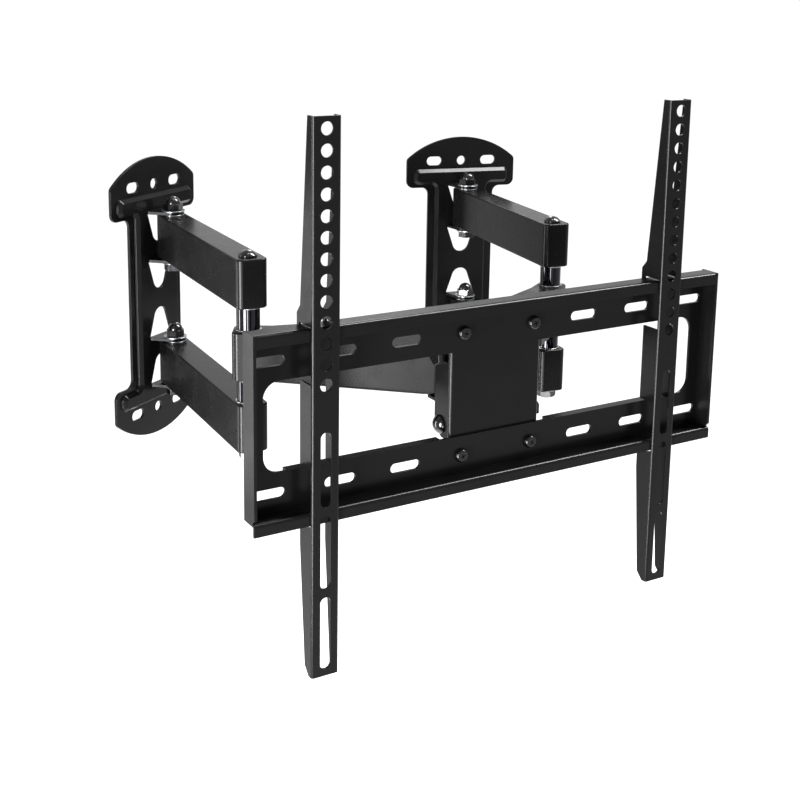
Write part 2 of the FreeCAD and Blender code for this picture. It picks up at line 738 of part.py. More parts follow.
# ---- tilting bracket -------------------------------------------------------------------------

BRACKET_FRONT = "(frame_front + frame_depth + face_gap)"


def lock_arc():
    """The curved slot that the lock bolts ride in as the bracket tilts."""
    pivot = ("tilt_pivot_back", "-tilt_pivot_drop")
    half = "(tilt_bolt_radius + lock_slot_gap)"

    def spot(radius, angle):
        return (f"{pivot[0]} + ({radius}) * cos({angle})", f"{pivot[1]} + ({radius}) * sin({angle})")

    outer, inner = f"tilt_lock_rise + {half}", f"tilt_lock_rise - {half}"
    first, last = "90 - tilt_forward - tilt_spare", "90 + tilt_back + tilt_spare"
    end_first, end_last = spot("tilt_lock_rise", first), spot("tilt_lock_rise", last)
    return [(*spot(outer, first), *pivot), (*spot(outer, last), *end_last),
            (*spot(inner, last), *pivot, "inward"), (*spot(inner, first), *end_first)]


def tilt_bracket():
    bracket = new_body("tilt_bracket")
    slab(bracket, "XZ", f"{BRACKET_FRONT} + bracket_sheet / 2", "bracket_sheet",
         [rectangle("-bracket_width / 2", "bracket_width / 2", "-bracket_bottom", "bracket_top")])
    low, back = "-bracket_flange_drop", "bracket_flange_back"
    cheek = [(BRACKET_FRONT, f"{low} + bracket_corner"), (f"{BRACKET_FRONT} + bracket_corner", low),
             (f"{back} - 2 * bracket_corner", low), (back, f"{low} + bracket_corner"),
             (back, "-bracket_taper"), (f"{back} - bracket_corner / 3", "bracket_top - bracket_corner"),
             (f"{back} - 4 / 3 * bracket_corner", "bracket_top"), (BRACKET_FRONT, "bracket_top")]
    for hand in ("-1", "1"):
        slab(bracket, "YZ", f"{hand} * (bracket_width / 2 - bracket_sheet / 2)", "bracket_sheet", [cheek])
    fillet(bracket, "frame_bend", lambda middle, along, edge: runs_along(along, 2)
           and near(middle.y, BRACKET_FRONT) and near(abs(middle.x), "bracket_width / 2")
           and edge.Length > value("bracket_top"))
    carve(bracket, "YZ", "0", "2 * bracket_width",
          [["circle", "tilt_pivot_back", "-tilt_pivot_drop", "tilt_bolt_radius + pivot_gap"], lock_arc()])
    holes = [["circle", f"{hand} * rail_bolt_half", level, "rail_bolt_radius + hole_gap"]
             for hand in ("-1", "1") for level in ("top_slot_level", "-bottom_slot_level")]
    carve(bracket, "XZ", BRACKET_FRONT, "6 * bracket_sheet", holes)
    put(bracket, tv_centre)


def tilt_fasteners():
    """The tilt pivot bolt and the two short lock bolts in the curved slots, all along X."""
    half = "(bracket_width / 2)"
    pivot = joined("tilt_bolt", [
        dome("tilt_bolt_head", "dome_radius", "dome_height", half),
        shaft("tilt_bolt_shank", "tilt_bolt_radius", f"-{half} - nut_height", half)])
    pivot_nut = nut("tilt_nut", "tilt_bolt_radius", "tilt_nut_width", f"(-{half} - nut_height)",
                    "nut_height")
    locks, lock_nuts = [], []
    skin, inner = f"{half} + face_gap", f"{HEAD_HALF} - head_sheet"
    sides = (("left", skin, f"{HEAD_HALF} - tilt_bolt_reach", skin, f"{inner} - lock_nut_height"),
             ("right", f"-({skin}) - nut_height", f"-({skin})", f"tilt_bolt_reach - {HEAD_HALF}",
              f"-({inner})"))
    for hand, head_low, shank_low, shank_high, nut_low in sides:
        name = f"tilt_lock_{hand}"
        locks.append(joined(name, [
            hexagon(f"{name}_head", "tilt_nut_width", head_low, "nut_height"),
            shaft(f"{name}_shank", "tilt_bolt_radius", shank_low, shank_high)]))
        lock_nuts.append(nut(f"{name}_nut", "tilt_bolt_radius", "lock_nut_width", f"({nut_low})",
                             "lock_nut_height"))
    turn = FreeCAD.Rotation(FreeCAD.Vector(0, 1, 0), -90)
    pivot_level, lock_level = "-tilt_pivot_drop", "tilt_lock_rise - tilt_pivot_drop"
    placed = (("tilt_pivot_bolt", [pivot], pivot_level), ("tilt_pivot_nut", [pivot_nut], pivot_level),
              ("tilt_lock_bolts", locks, lock_level), ("tilt_lock_nuts", lock_nuts, lock_level))
    for label, members, level in placed:
        piece = group(label, members)
        piece.Placement = FreeCAD.Placement(FreeCAD.Vector(), turn)
        put(piece, (tv_centre[0], f"{tv_centre[1]} + tilt_pivot_back"), level=level)


# ---- TV frame --------------------------------------------------------------------------------

WEB_FRONT = "(frame_front + frame_depth - frame_sheet)"
WEB_BACK = "(frame_front + frame_depth)"
LIP_LOW = "(frame_sheet - frame_bottom - lip_height)"


def tv_frame():
    """One pressed pan: a web at the back, flanges forward on all sides and a lip at top and bottom."""
    frame = new_body("tv_frame")
    inner_top, inner_bottom = "frame_top - frame_sheet", "-frame_bottom + frame_sheet"
    lip_back, lip_top = "frame_front + frame_sheet", "frame_top - lip_height"
    section = [("frame_front", lip_top), (lip_back, lip_top), (lip_back, inner_top),
               (WEB_FRONT, inner_top), (WEB_FRONT, inner_bottom), ("frame_front", inner_bottom),
               ("frame_front", LIP_LOW), (lip_back, LIP_LOW), (lip_back, "-frame_bottom"),
               (WEB_BACK, "-frame_bottom"), (WEB_BACK, "frame_top"), ("frame_front", "frame_top")]
    slab(frame, "YZ", "0", "frame_width", [section])
    outer_bends = (("frame_front", "frame_top"), (WEB_BACK, "frame_top"), (WEB_BACK, "-frame_bottom"),
                   ("frame_front", inner_bottom))
    fillet(frame, "frame_bend", lambda middle, along, edge: runs_along(along, 0) and any(
        near(middle.y, y) and near(middle.z, z) for y, z in outer_bends))
    for hand in ("-1", "1"):
        end = [("frame_front", "-frame_bottom + end_corner"), ("frame_front + end_corner", "-frame_bottom"),
               (WEB_BACK, "-frame_bottom"), (WEB_BACK, "frame_top"), ("frame_front", "frame_top")]
        slab(frame, "YZ", f"{hand} * (frame_width / 2 - frame_sheet / 2)", "frame_sheet", [end])
    openings = [rectangle("-frame_width / 2 + window_end", "frame_width / 2 - window_end",
                          "-window_bottom", "window_top")]
    carve(frame, "XZ", WEB_BACK, "4 * frame_sheet", openings)
    fillet(frame, "window_corner", lambda middle, along, edge: runs_along(along, 1)
           and near(abs(middle.x), "frame_width / 2 - window_end")
           and (near(middle.z, "window_top") or near(middle.z, "-window_bottom")))
    holes = []
    for level in ("top_slot_level", "-bottom_slot_level"):
        for hand in ("-1", "1"):
            for place in ("rail_slot_first", "rail_slot_second", "rail_slot_third"):
                holes.append(slot(f"{hand} * {place}", level, "rail_slot_travel", "rail_slot_radius"))
            holes.append(["circle", f"{hand} * rail_bolt_half", level, "rail_bolt_radius + hole_gap"])
    carve(frame, "XZ", WEB_BACK, "4 * frame_sheet", holes)
    outer, return_back = "(frame_width / 2 - return_end)", f"{WEB_BACK} + return_depth"
    for level in ("window_top + frame_sheet / 2", "-window_bottom - frame_sheet / 2"):
        for left, right in ((f"-{outer}", "-return_inner"), ("return_inner", outer)):
            slab(frame, "XY", level, "frame_sheet", [rectangle(left, right, WEB_FRONT, return_back)])
    put(frame, tv_centre)


def rail_fasteners():
    """Four bolts through the frame's web and the bracket, heads to the front and nuts behind."""
    bolts, nuts = [], []
    for hand in ("-1", "1"):
        for level, spot in (("top_slot_level", "top"), ("-bottom_slot_level", "bottom")):
            name = f"rail_{'left' if hand == '-1' else 'right'}_{spot}"
            nut_low = "(-frame_sheet - face_gap - bracket_sheet - rail_nut_height)"
            bolt = dome_bolt(f"{name}_bolt", "rail_bolt_radius", "rail_bolt_head", "rail_bolt_height",
                             f"{nut_low} - washer_thick", "0")
            back_nut = nut(f"{name}_nut", "rail_bolt_radius", "rail_nut_width", nut_low, "rail_nut_height")
            for piece, members in ((bolt, bolts), (back_nut, nuts)):
                holder = doc.addObject("Part::Compound", f"{piece.Name}_place")
                holder.Links = [piece]
                bind(holder, "Placement.Base.x", f"{hand} * rail_bolt_half")
                bind(holder, "Placement.Base.y", level)
                members.append(holder)
    turn = FreeCAD.Rotation(FreeCAD.Vector(1, 0, 0), 90)
    for label, members in (("rail_bolts", bolts), ("rail_nuts", nuts)):
        piece = group(label, members)
        piece.Placement = FreeCAD.Placement(FreeCAD.Vector(), turn)
        put(piece, (tv_centre[0], f"{tv_centre[1]} + {WEB_FRONT}"))


# ---- uprights --------------------------------------------------------------------------------

def upright_side():
    """The side flange's outline, with a notch for each rail and a hook behind the top one."""
    behind = f"{WEB_BACK} + notch_gap"
    front = "(frame_front - face_clearance)"
    top_low, top_high = "window_top - window_clearance", "frame_top + notch_gap"
    low_high = "window_clearance - window_bottom"
    return [("0", "-upright_bottom"), ("upright_low_depth - upright_corner", "-upright_bottom"),
            ("upright_low_depth", "upright_corner - upright_bottom"),
            ("upright_depth", "-upright_taper_low"), ("upright_depth", f"{LIP_LOW} - upright_corner"),
            (front, f"{LIP_LOW} - notch_gap"), (front, low_high), ("upright_depth", low_high), ("upright_depth", top_low), (front, top_low),
            (front, top_high), (behind, top_high), (behind, f"{top_high} - hook_reach"),
            ("hook_depth", f"{top_high} - hook_reach"),
            ("hook_depth", "upright_taper_top - upright_corner"), ("upright_depth", "upright_taper_top"),
            ("upright_top_depth", "upright_top"), ("0", "upright_top")]


def upright(side):
    body = new_body(f"upright_{side}")
    face = rectangle("-upright_width / 2", "upright_width / 2", "-upright_bottom", "upright_top")
    slab(body, "XZ", "upright_sheet / 2", "upright_sheet", [face])
    for hand in ("-1", "1"):
        middle = f"{hand} * (upright_width / 2 - upright_sheet / 2)"
        slab(body, "YZ", middle, "upright_sheet", [upright_side()])
    fillet(body, "upright_bend", lambda middle, along, edge: runs_along(along, 2)
           and near(middle.y, "0"))
    holes = [["circle", "0", f"tv_hole_level - {number} * tv_hole_pitch", "tv_hole_radius"]
             for number in range(TV_HOLES)]
    for number in range(TV_SLOTS):
        high = f"(-tv_slot_top - {number} * (tv_slot_length + tv_slot_bridge))"
        holes.append(upright_slot(f"({high} - tv_slot_length)", high, "tv_slot_radius"))
    carve(body, "XZ", "upright_sheet / 2", "2 * upright_sheet", holes)
    put(body, (f"{tv_centre[0]} + {SIDES[side]['hand']} * upright_half_spacing", tv_centre[1]))


# ---- the whole mount -------------------------------------------------------------------------

def check():
    doc.recompute()
    for item in doc.Objects:
        if "Invalid" in item.State or "Error" in item.State:
            raise RuntimeError(f"{item.Name} didn't recompute: {item.State}")
    for piece in subparts:
        if piece.Shape.isNull() or not piece.Shape.isValid():
            raise RuntimeError(f"{piece.Label} has no valid shape")


for side in SIDES:
    wall_plate(side)
    wall_fasteners(side)
    arm(side, "upper", "")
    arm(side, "lower", "-")
    arm_sleeves(side)
    elbow(side)
    forearm(side)
swivel_head()
head_fasteners()
tilt_bracket()
tilt_fasteners()
tv_frame()
rail_fasteners()
for side in SIDES:
    upright(side)
check()

os.makedirs("parts", exist_ok=True)
for piece in subparts:
    piece.Shape.exportStep(f"parts/{piece.Label}.step")
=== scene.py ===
import json
import math

import bpy
from mathutils import Matrix, Vector


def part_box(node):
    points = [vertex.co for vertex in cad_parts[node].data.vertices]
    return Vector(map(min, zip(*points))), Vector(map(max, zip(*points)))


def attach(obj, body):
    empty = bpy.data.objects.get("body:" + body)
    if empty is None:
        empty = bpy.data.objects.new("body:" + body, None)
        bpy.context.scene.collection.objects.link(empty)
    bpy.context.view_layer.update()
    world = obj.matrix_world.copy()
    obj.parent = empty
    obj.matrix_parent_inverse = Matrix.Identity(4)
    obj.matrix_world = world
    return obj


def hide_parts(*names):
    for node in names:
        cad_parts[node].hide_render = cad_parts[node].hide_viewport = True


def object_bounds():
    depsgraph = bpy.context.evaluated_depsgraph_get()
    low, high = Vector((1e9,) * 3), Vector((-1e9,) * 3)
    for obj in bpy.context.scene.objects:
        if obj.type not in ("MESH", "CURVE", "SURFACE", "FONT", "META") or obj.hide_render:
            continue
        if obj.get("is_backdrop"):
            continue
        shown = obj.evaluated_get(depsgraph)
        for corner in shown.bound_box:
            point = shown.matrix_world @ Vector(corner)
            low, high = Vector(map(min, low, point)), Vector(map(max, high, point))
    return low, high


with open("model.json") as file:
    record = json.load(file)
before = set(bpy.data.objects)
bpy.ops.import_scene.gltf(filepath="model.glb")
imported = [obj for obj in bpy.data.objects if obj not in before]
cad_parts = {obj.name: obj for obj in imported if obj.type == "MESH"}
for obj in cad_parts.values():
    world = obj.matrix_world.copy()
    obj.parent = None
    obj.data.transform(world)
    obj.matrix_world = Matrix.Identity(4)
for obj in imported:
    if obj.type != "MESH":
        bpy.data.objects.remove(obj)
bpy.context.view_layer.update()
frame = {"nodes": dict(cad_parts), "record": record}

bl_info = {
    "name": "Full Motion TV Wall Mount",
    "version": (1, 0, 0),
    "blender": (4, 5, 0),
    "location": "View3D > Sidebar > TV Mount",
    "description": "Finishes the sheet metal, tubes and fasteners of a full motion TV wall mount",
    "category": "Object",
}

MM = 0.001
BODY_OF = {node: body for body, nodes in frame["record"]["behaviour"]["bodies"].items()
           for node in nodes}
SIDES = ("left", "right")

# the M10 nuts on the wall and elbow bolts
NUT_ACROSS, NUT_HEIGHT, NUT_BORE = 17 * MM, 7 * MM, 5.05 * MM
CAP_HEIGHT = 7 * MM
CAP_WALL = 0.8 * MM
CAP_SINK = 0.4 * MM

# the M6 pan-head screws through the frame's rails
SCREW_HEAD_RADIUS, SCREW_HEAD_HEIGHT, SCREW_SHANK_RADIUS = 6 * MM, 4.2 * MM, 3 * MM
SHANK_SINK, SHANK_CHAMFER = 0.2 * MM, 0.4 * MM

# name, azimuth and elevation in degrees, distance, width and height in metres, and power in watts;
# azimuth 0 stands in front of the screen and -90 on its left
LAMPS = (("key", -60, -8, 1.9, 0.45, 1.4, 200), ("left", -112, -8, 1.9, 0.2, 1.4, 40),
         ("front", -33, -16, 1.9, 0.4, 0.45, 16), ("right", 71, 54, 2.2, 0.4, 1.3, 170),
         ("top", -10, 84, 2.4, 0.5, 0.5, 14), ("back_left", -140, -14, 1.2, 0.12, 0.5, 1.0),
         ("back_right", 150, 40, 2.2, 0.4, 1.0, 14))
# the flag stands behind on the left and faces the arms
FLAG_PLACE, FLAG_FACE, FLAG_SIZE = (-0.46, 0.834, -0.25), (0.23, -0.964, 0.2), (0.8, 0.75, 1)
SKY_STRENGTH = 1.04

CAMERA_PLACE = (-0.44665, -1.26048, 0.33223)
CAMERA_AZIMUTH, CAMERA_ELEVATION, CAMERA_ROLL = -32.12, 11.19, 1.23
SENSOR_MM = 36
FRAMING_SHIFT = (-0.0516, -0.2043)
CLIP_NEAR, CLIP_FAR = 0.05, 200


def linear(code):
    """An sRGB hex colour as linear red, green and blue."""
    values = [int(code[start:start + 2], 16) / 255 for start in (1, 3, 5)]
    return tuple(v / 12.92 if v <= 0.04045 else ((v + 0.055) / 1.055) ** 2.4 for v in values)


# ---- settings --------------------------------------------------------------------------------

def radius_setting(name, description, millimetres):
    return bpy.props.FloatProperty(name=name, description=description, default=millimetres * MM,
                                   unit="LENGTH", precision=5)


def colour_setting(name, description, code):
    return bpy.props.FloatVectorProperty(name=name, description=description, default=linear(code),
                                         size=3, subtype="COLOR", min=0, max=1)


class SizeSettings(bpy.types.PropertyGroup):
    sheet_round: radius_setting(
        "Sheet edge", "Radius left on cut sheet edges by tumbling and coating", 0.45)
    tube_round: radius_setting("Tube edge", "Radius left on the welded seams of the box arms", 0.55)
    turned_round: radius_setting("Turned edge", "Edge break on posts, washers and bolt shanks", 0.25)
    nut_chamfer: radius_setting(
        "Nut chamfer", "Height of the conical chamfer over a nut's corners", 1.1)


class FinishSettings(bpy.types.PropertyGroup):
    coat: colour_setting("Powder coat", "Colour of the coated sheet and tube", "#050505")
    coat_worn: colour_setting("Thin coat", "Colour where the coat is a little thinner", "#060606")
    fastener: colour_setting("Black zinc", "Colour of the bolts and nuts", "#131315")
    post: colour_setting("Black nickel", "Colour of the elbow posts", "#2C2C2F")
    washer: colour_setting("Zinc", "Colour of the bright washers", "#8E8F92")
    nylon: colour_setting("Nylon", "Colour of the moulded bearing rings", "#D8D5CB")
    steel: colour_setting("Drawn steel", "Colour of the sleeves inside the arms", "#9B9C9E")


class StageSettings(bpy.types.PropertyGroup):
    floor: colour_setting("Floor", "Colour of the studio floor", "#FFFFFF")
    flag: colour_setting(
        "Flag", "Colour of the dark cloth flag that keeps light off the arms' sides", "#101010")
    floor_size: bpy.props.FloatProperty(
        name="Floor size", description="Width of the studio floor", default=60.0, unit="LENGTH")
    floor_drop: bpy.props.FloatProperty(
        name="Floor drop", description="Height at which the mount hangs over the floor",
        default=1.2, unit="LENGTH")
    focal: bpy.props.FloatProperty(
        name="Focal length", description="Lens of the studio camera", default=59.25 * MM,
        unit="CAMERA", precision=4)
    light: bpy.props.FloatProperty(
        name="Light", description="Strength of every studio lamp, as a factor", default=1.0,
        min=0, max=5, subtype="FACTOR")


def sizes():
    return bpy.context.scene.mount_sizes


def finishes():
    return bpy.context.scene.mount_finishes


def stage():
    return bpy.context.scene.mount_stage


# ---- materials -------------------------------------------------------------------------------

def add_node(tree, kind, settings=None, values=None, links=None):
    """One node with its settings, its socket values and the sockets that feed it."""
    node = tree.nodes.new(kind)
    for name, value in (settings or {}).items():
        setattr(node, name, value)
    for name, value in (values or {}).items():
        node.inputs[name].default_value = value
    for name, source in (links or {}).items():
        tree.links.new(source, node.inputs[name])
    return node


def per_metre(millimetres):
    """A texture scale that gives a pattern of the stated size."""
    return 1 / (millimetres * MM)


def new_material(name):
    """A material with an empty tree, its shader and the object's own coordinates."""
    material = bpy.data.materials.new(name)
    material.use_nodes = True
    tree = material.node_tree
    tree.nodes.clear()
    shader = add_node(tree, "ShaderNodeBsdfPrincipled")
    add_node(tree, "ShaderNodeOutputMaterial", links={"Surface": shader.outputs["BSDF"]})
    place = add_node(tree, "ShaderNodeTexCoord").outputs["Object"]
    return material, tree, shader, place


def noise(tree, place, size_mm, detail=2.0):
    """A cloudy pattern whose lumps are about the stated size."""
    return add_node(tree, "ShaderNodeTexNoise", values={"Scale": per_metre(size_mm), "Detail": detail},
                    links={"Vector": place}).outputs["Fac"]


def spread(tree, source, low, high, start=0.3, end=0.7):
    """Spreads a pattern between two values."""
    return add_node(tree, "ShaderNodeMapRange",
                    values={"From Min": start, "From Max": end, "To Min": low, "To Max": high},
                    links={"Value": source}).outputs["Result"]


def blended(tree, factor, first, second):
    """A colour that runs from the first to the second as the factor rises."""
    node = add_node(tree, "ShaderNodeMix", {"data_type": "RGBA"})
    tree.links.new(factor, node.inputs[0])
    node.inputs[6].default_value = (*first, 1)
    node.inputs[7].default_value = (*second, 1)
    return node.outputs[2]


def relief(tree, shader, height, depth_mm, strength):
    """Raises the surface by the pattern, in shading only."""
    bump = add_node(tree, "ShaderNodeBump", values={"Strength": strength, "Distance": depth_mm * MM},
                    links={"Height": height})
    tree.links.new(bump.outputs["Normal"], shader.inputs["Normal"])


def powder_coat(name, peel_mm, rough_low, rough_high):
    """Polyester powder baked on steel: a satin skin with the soft dimples of orange peel."""
    material, tree, shader, place = new_material(name)
    cloud = noise(tree, place, 45.0)
    tree.links.new(blended(tree, spread(tree, cloud, 0.0, 1.0), finishes().coat, finishes().coat_worn),
                   shader.inputs["Base Color"])
    # a coat's gloss drifts over a few centimetres, and fine grit breaks it up further
    drift = noise(tree, place, 22.0)
    grit = noise(tree, place, 1.6)
    both = add_node(tree, "ShaderNodeMath", {"operation": "MULTIPLY_ADD"}, {1: 0.35},
                    {0: grit, 2: drift}).outputs[0]
    tree.links.new(spread(tree, both, rough_low, rough_high, 0.4, 0.95), shader.inputs["Roughness"])
    shader.inputs["IOR"].default_value = 1.48
    shader.inputs["Specular IOR Level"].default_value = 0.1
    # real dimples are under a millimetre across, and are drawn wider so that they show
    relief(tree, shader, noise(tree, place, peel_mm, 1.0), 0.05, 0.35)
    return material


def sheet_coat():
    # pressed sheet is coated evenly, so its satin skin is smooth and a little glossier on the faces
    return powder_coat("Powder-coated pressed steel, satin black", 1.8, 0.22, 0.27)


def tube_coat():
    # welded tube keeps a trace of its scale under the coat, so it reads slightly rougher than the sheet
    return powder_coat("Powder-coated steel tube, satin black", 2.6, 0.24, 0.29)


def black_zinc():
    # zinc plate with a black passivation: metallic, oily black, with faint rolling marks
    material, tree, shader, place = new_material("Black zinc-plated steel, oiled")
    cloud = noise(tree, place, 6.0)
    darker = tuple(channel * 0.6 for channel in finishes().fastener)
    tree.links.new(blended(tree, spread(tree, cloud, 0.0, 1.0), darker, finishes().fastener),
                   shader.inputs["Base Color"])
    shader.inputs["Metallic"].default_value = 0.85
    tree.links.new(spread(tree, noise(tree, place, 2.2), 0.16, 0.3), shader.inputs["Roughness"])
    shader.inputs["Coat Weight"].default_value = 0.35
    shader.inputs["Coat Roughness"].default_value = 0.08
    relief(tree, shader, noise(tree, place, 1.2), 0.02, 0.3)
    return material


def black_nickel():
    # turned bar with a black nickel plate: a dark mirror with the lathe's fine rings round it
    material, tree, shader, place = new_material("Black nickel-plated steel, polished")
    cloud = noise(tree, place, 9.0)
    darker = tuple(channel * 0.8 for channel in finishes().post)
    tree.links.new(blended(tree, spread(tree, cloud, 0.0, 1.0), darker, finishes().post),
                   shader.inputs["Base Color"])
    shader.inputs["Metallic"].default_value = 1.0
    tree.links.new(spread(tree, noise(tree, place, 3.0), 0.05, 0.11), shader.inputs["Roughness"])
    # a finishing cut leaves rings about 0.2 mm apart, drawn at 0.8 mm so that they show
    rings = add_node(tree, "ShaderNodeTexWave", {"bands_direction": "Z"},
                     {"Scale": per_metre(0.8) / 20, "Distortion": 0.4}, {"Vector": place}).outputs["Fac"]
    relief(tree, shader, rings, 0.01, 0.25)
    return material


def bright_zinc():
    # stamped washers with a clear passivation: pale, slightly blue metal with tumbling marks
    material, tree, shader, place = new_material("Zinc-plated steel, clear passivated")
    cloud = noise(tree, place, 5.0)
    darker = tuple(channel * 0.78 for channel in finishes().washer)
    tree.links.new(blended(tree, spread(tree, cloud, 0.0, 1.0), darker, finishes().washer),
                   shader.inputs["Base Color"])
    shader.inputs["Metallic"].default_value = 1.0
    tree.links.new(spread(tree, noise(tree, place, 1.5), 0.24, 0.4), shader.inputs["Roughness"])
    relief(tree, shader, noise(tree, place, 0.9), 0.02, 0.4)
    return material


def natural_nylon():
    # moulded bearing rings: milky, slightly waxy, and a touch translucent at their thin edges
    material, tree, shader, place = new_material("Nylon 6, natural, moulded")
    cloud = noise(tree, place, 7.0)
    darker = tuple(channel * 0.86 for channel in finishes().nylon)
    tree.links.new(blended(tree, spread(tree, cloud, 0.0, 1.0), darker, finishes().nylon),
                   shader.inputs["Base Color"])
    tree.links.new(spread(tree, noise(tree, place, 2.0), 0.38, 0.52), shader.inputs["Roughness"])
    shader.inputs["IOR"].default_value = 1.53
    shader.inputs["Subsurface Weight"].default_value = 0.15
    shader.inputs["Subsurface Scale"].default_value = 1.5 * MM
    relief(tree, shader, noise(tree, place, 1.4), 0.02, 0.3)
    return material


def drawn_steel():
    # sleeve tube straight from the drawing bench: grey, oiled, with long faint scratches
    material, tree, shader, place = new_material("Drawn steel tube, oiled")
    long_marks = add_node(tree, "ShaderNodeMapping", {"vector_type": "POINT"},
                          {"Scale": (1.0, 1.0, 0.06)}, {"Vector": place}).outputs["Vector"]
    marks = noise(tree, long_marks, 1.0)
    darker = tuple(channel * 0.7 for channel in finishes().steel)
    tree.links.new(blended(tree, spread(tree, marks, 0.0, 1.0), darker, finishes().steel),
                   shader.inputs["Base Color"])
    shader.inputs["Metallic"].default_value = 1.0
    tree.links.new(spread(tree, marks, 0.25, 0.42), shader.inputs["Roughness"])
    relief(tree, shader, marks, 0.02, 0.3)
    return material


def studio_floor():
    # matt laminate, white and very faintly mottled
    material, tree, shader, place = new_material("Matt laminate, pale")
    cloud = noise(tree, place, 400.0)
    darker = tuple(channel * 0.97 for channel in stage().floor)
    tree.links.new(blended(tree, spread(tree, cloud, 0.0, 1.0), darker, stage().floor),
                   shader.inputs["Base Color"])
    tree.links.new(spread(tree, noise(tree, place, 60.0), 0.55, 0.65), shader.inputs["Roughness"])
    relief(tree, shader, noise(tree, place, 3.0), 0.05, 0.1)
    return material


def flag_cloth():
    # black cotton duck on a wire frame: it swallows light, with a faint weave
    material, tree, shader, place = new_material("Cotton duck, black")
    weave = noise(tree, place, 4.0)
    darker = tuple(channel * 0.7 for channel in stage().flag)
    tree.links.new(blended(tree, spread(tree, weave, 0.0, 1.0), darker, stage().flag),
                   shader.inputs["Base Color"])
    tree.links.new(spread(tree, weave, 0.85, 0.95), shader.inputs["Roughness"])
    return material


MAKERS = {"black_steel": sheet_coat, "tube": tube_coat, "black_fastener": black_zinc,
          "black_post": black_nickel, "zinc_washer": bright_zinc, "nylon": natural_nylon,
          "sleeve_steel": drawn_steel, "floor": studio_floor,
          "flag": flag_cloth}
made_materials = {}


def finish_of(name):
    """The named material, made when it is first asked for."""
    if name not in made_materials:
        made_materials[name] = MAKERS[name]()
    return made_materials[name]


def coat(piece, name):
    """Gives the whole piece one material."""
    piece.data.materials.clear()
    piece.data.materials.append(finish_of(name))
    for face in piece.data.polygons:
        face.material_index = 0


# ---- modelling -------------------------------------------------------------------------------

def choose(*pieces):
    """Selects these pieces only, the first of them active, outside edit mode."""
    active = bpy.context.view_layer.objects.active
    if active is not None and active.mode != "OBJECT":
        bpy.ops.object.mode_set(mode="OBJECT")
    bpy.ops.object.select_all(action="DESELECT")
    for piece in pieces:
        piece.select_set(True)
    bpy.context.view_layer.objects.active = pieces[0]


def select_faces(piece, test):
    """Selects the faces whose centre and normal pass the test, then opens edit mode."""
    choose(piece)
    bpy.ops.object.mode_set(mode="EDIT")
    bpy.ops.mesh.select_mode(type="FACE")
    bpy.ops.mesh.select_all(action="DESELECT")
    bpy.ops.object.mode_set(mode="OBJECT")
    count = 0
    for face in piece.data.polygons:
        if test(face.center, face.normal):
            face.select = True
            count += 1
    if count == 0:
        raise RuntimeError(f"{piece.name} has no face to work on")
    bpy.ops.object.mode_set(mode="EDIT")


def with_modifier(piece, kind, **settings):
    """Adds a modifier and applies it."""
    choose(piece)
    modifier = piece.modifiers.new(kind.title(), kind)
    for name, value in settings.items():
        setattr(modifier, name, value)
    bpy.ops.object.modifier_apply(modifier=modifier.name)


def smooth(piece, angle=35):
    """Smooths the bends and leaves flat faces flat, so that a sheet shades evenly."""
    choose(piece)
    bpy.ops.object.shade_smooth_by_angle(angle=math.radians(angle))
    with_modifier(piece, "WEIGHTED_NORMAL", mode="FACE_AREA", weight=100, keep_sharp=True)


def settle(piece):
    """Leaves the piece at the origin, unturned and unscaled, with its place in its mesh."""
    choose(piece)
    bpy.ops.object.transform_apply(location=True, rotation=True, scale=True)


def copy_of(piece, name, matrix):
    """A copy with its own mesh, moved by the matrix."""
    twin = bpy.data.objects.new(name, piece.data.copy())
    bpy.context.scene.collection.objects.link(twin)
    twin.data.transform(matrix)
    return twin


def discard(*pieces):
    """Removes helper pieces with their meshes."""
    for piece in pieces:
        mesh = piece.data
        bpy.data.objects.remove(piece)
        bpy.data.meshes.remove(mesh)


def join_as(name, pieces):
    """Joins the pieces into one object of this name."""
    choose(*pieces)
    if len(pieces) > 1:
        bpy.ops.object.join()
    joined = bpy.context.view_layer.objects.active
    joined.name = name
    joined.data.name = name
    return joined


def rounded_node(node, width):
    """A finished copy of a CAD node: merged, its flat faces made whole, and its edges rounded."""
    # a fold's own steps turn less than this, and stay as they are
    sharp_angle = math.radians(34)
    piece = bpy.data.objects.new(f"{node}_finished", frame["nodes"][node].data.copy())
    bpy.context.scene.collection.objects.link(piece)
    choose(piece)
    bpy.ops.object.mode_set(mode="EDIT")
    bpy.ops.mesh.select_all(action="SELECT")
    bpy.ops.mesh.remove_doubles(threshold=0.002 * MM)
    bpy.ops.mesh.dissolve_limited(angle_limit=math.radians(0.6))
    bpy.ops.object.mode_set(mode="OBJECT")
    with_modifier(piece, "BEVEL", width=width, segments=2, limit_method="ANGLE",
                  angle_limit=sharp_angle, use_clamp_overlap=True, harden_normals=False)
    smooth(piece)
    return piece


def install(piece, finish, *nodes, record_slot=None):
    """Coats a piece, rides it on the nodes' body and lets it stand for them."""
    coat(piece, finish)
    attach(piece, BODY_OF[nodes[0]])
    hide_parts(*nodes)


def bar(sides, radius, low, high, turn=0.0):
    """A round or many-sided bar on Z, between two levels."""
    bpy.ops.object.select_all(action="DESELECT")
    bpy.ops.mesh.primitive_cylinder_add(vertices=sides, radius=radius, depth=high - low,
                                        location=(0, 0, (low + high) / 2), rotation=(0, 0, turn))
    made = bpy.context.object
    settle(made)
    return made


